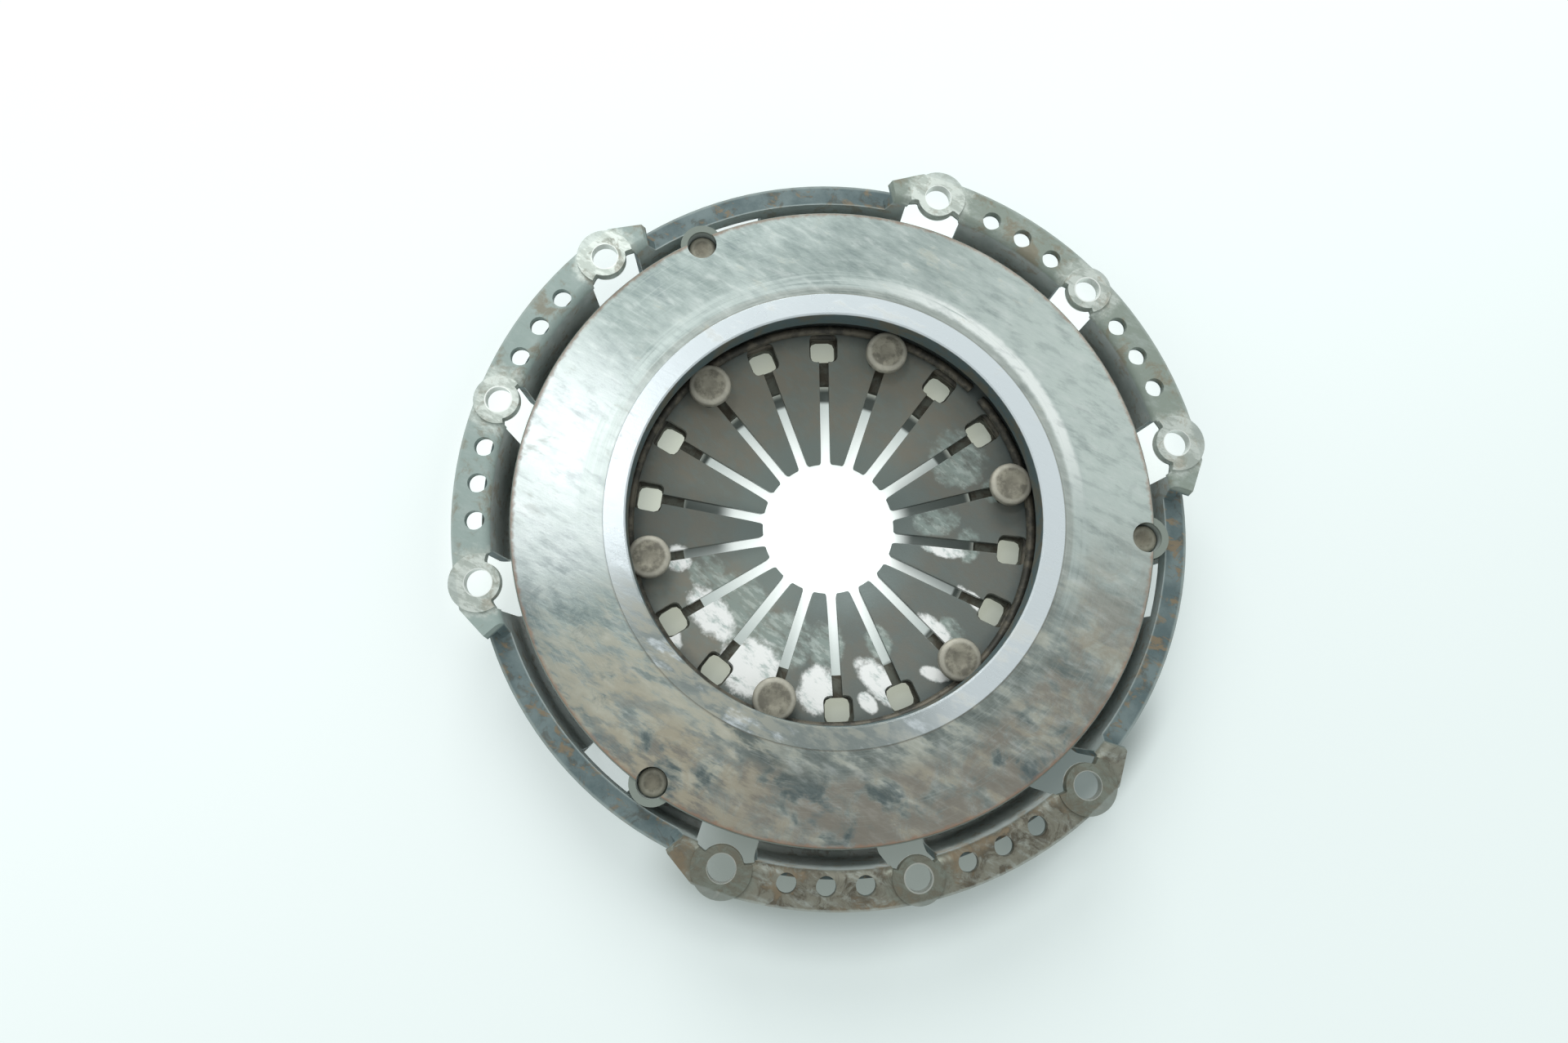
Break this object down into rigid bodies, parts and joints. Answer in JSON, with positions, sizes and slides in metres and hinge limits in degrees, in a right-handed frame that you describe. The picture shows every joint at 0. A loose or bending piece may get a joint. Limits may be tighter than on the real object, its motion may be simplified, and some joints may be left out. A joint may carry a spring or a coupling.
{
  "type": "clutch pressure plate",
  "caption": "Diaphragm spring clutch cover: a cast friction ring hung on spring straps inside a pressed steel cover with bolt flanges.",
  "frame": {"origin": "centre of the bolt circle, on the plane of the bolt pads that sit on the flywheel", "axes": "+Z along the crankshaft axis towards the flywheel, +X through a bolt hole"},
  "size_m": [0.241, 0.2329, 0.0346],
  "materials": {
    "pressed_cover": "dark oiled pressed steel, rusty in places",
    "cast_ring": "worn, glazed and partly rusty",
    "spring_steel": "dark tempered steel",
    "wire": "bright drawn wire, dulled",
    "spring_rivet": "tarnished",
    "strap_steel": "blue-grey tempered strip",
    "strap_rivet": "tarnished"
  },
  "bodies": {
    "cover_body": {"cover": "pressed_cover", "diaphragm_spring": "spring_steel", "front_pivot_ring": "wire", "rear_pivot_ring": "wire", "spring_rivet_1": "spring_rivet", "spring_rivet_2": "spring_rivet", "spring_rivet_3": "spring_rivet", "spring_rivet_4": "spring_rivet", "spring_rivet_5": "spring_rivet", "spring_rivet_6": "spring_rivet", "strap_1_leaf_1": "strap_steel", "strap_1_leaf_2": "strap_steel", "strap_1_leaf_3": "strap_steel", "strap_2_leaf_1": "strap_steel", "strap_2_leaf_2": "strap_steel", "strap_2_leaf_3": "strap_steel", "strap_3_leaf_1": "strap_steel", "strap_3_leaf_2": "strap_steel", "strap_3_leaf_3": "strap_steel", "strap_cover_rivet_1": "strap_rivet", "strap_cover_rivet_2": "strap_rivet", "strap_cover_rivet_3": "strap_rivet"},
    "plate_body": {"pressure_plate": "cast_ring", "strap_plate_rivet_1": "strap_rivet", "strap_plate_rivet_2": "strap_rivet", "strap_plate_rivet_3": "strap_rivet"}
  },
  "joints": [
    {"name": "plate_slide", "type": "slide", "parent": "cover_body", "child": "plate_body", "axis": [0, 0, -1], "range_m": [0, 0.003], "stiffness_N_per_m": 20000, "springref_m": -0.002, "deforming": ["diaphragm_spring", "strap_1_leaf_1", "strap_1_leaf_2", "strap_1_leaf_3", "strap_2_leaf_1", "strap_2_leaf_2", "strap_2_leaf_3", "strap_3_leaf_1", "strap_3_leaf_2", "strap_3_leaf_3"]}
  ]
}
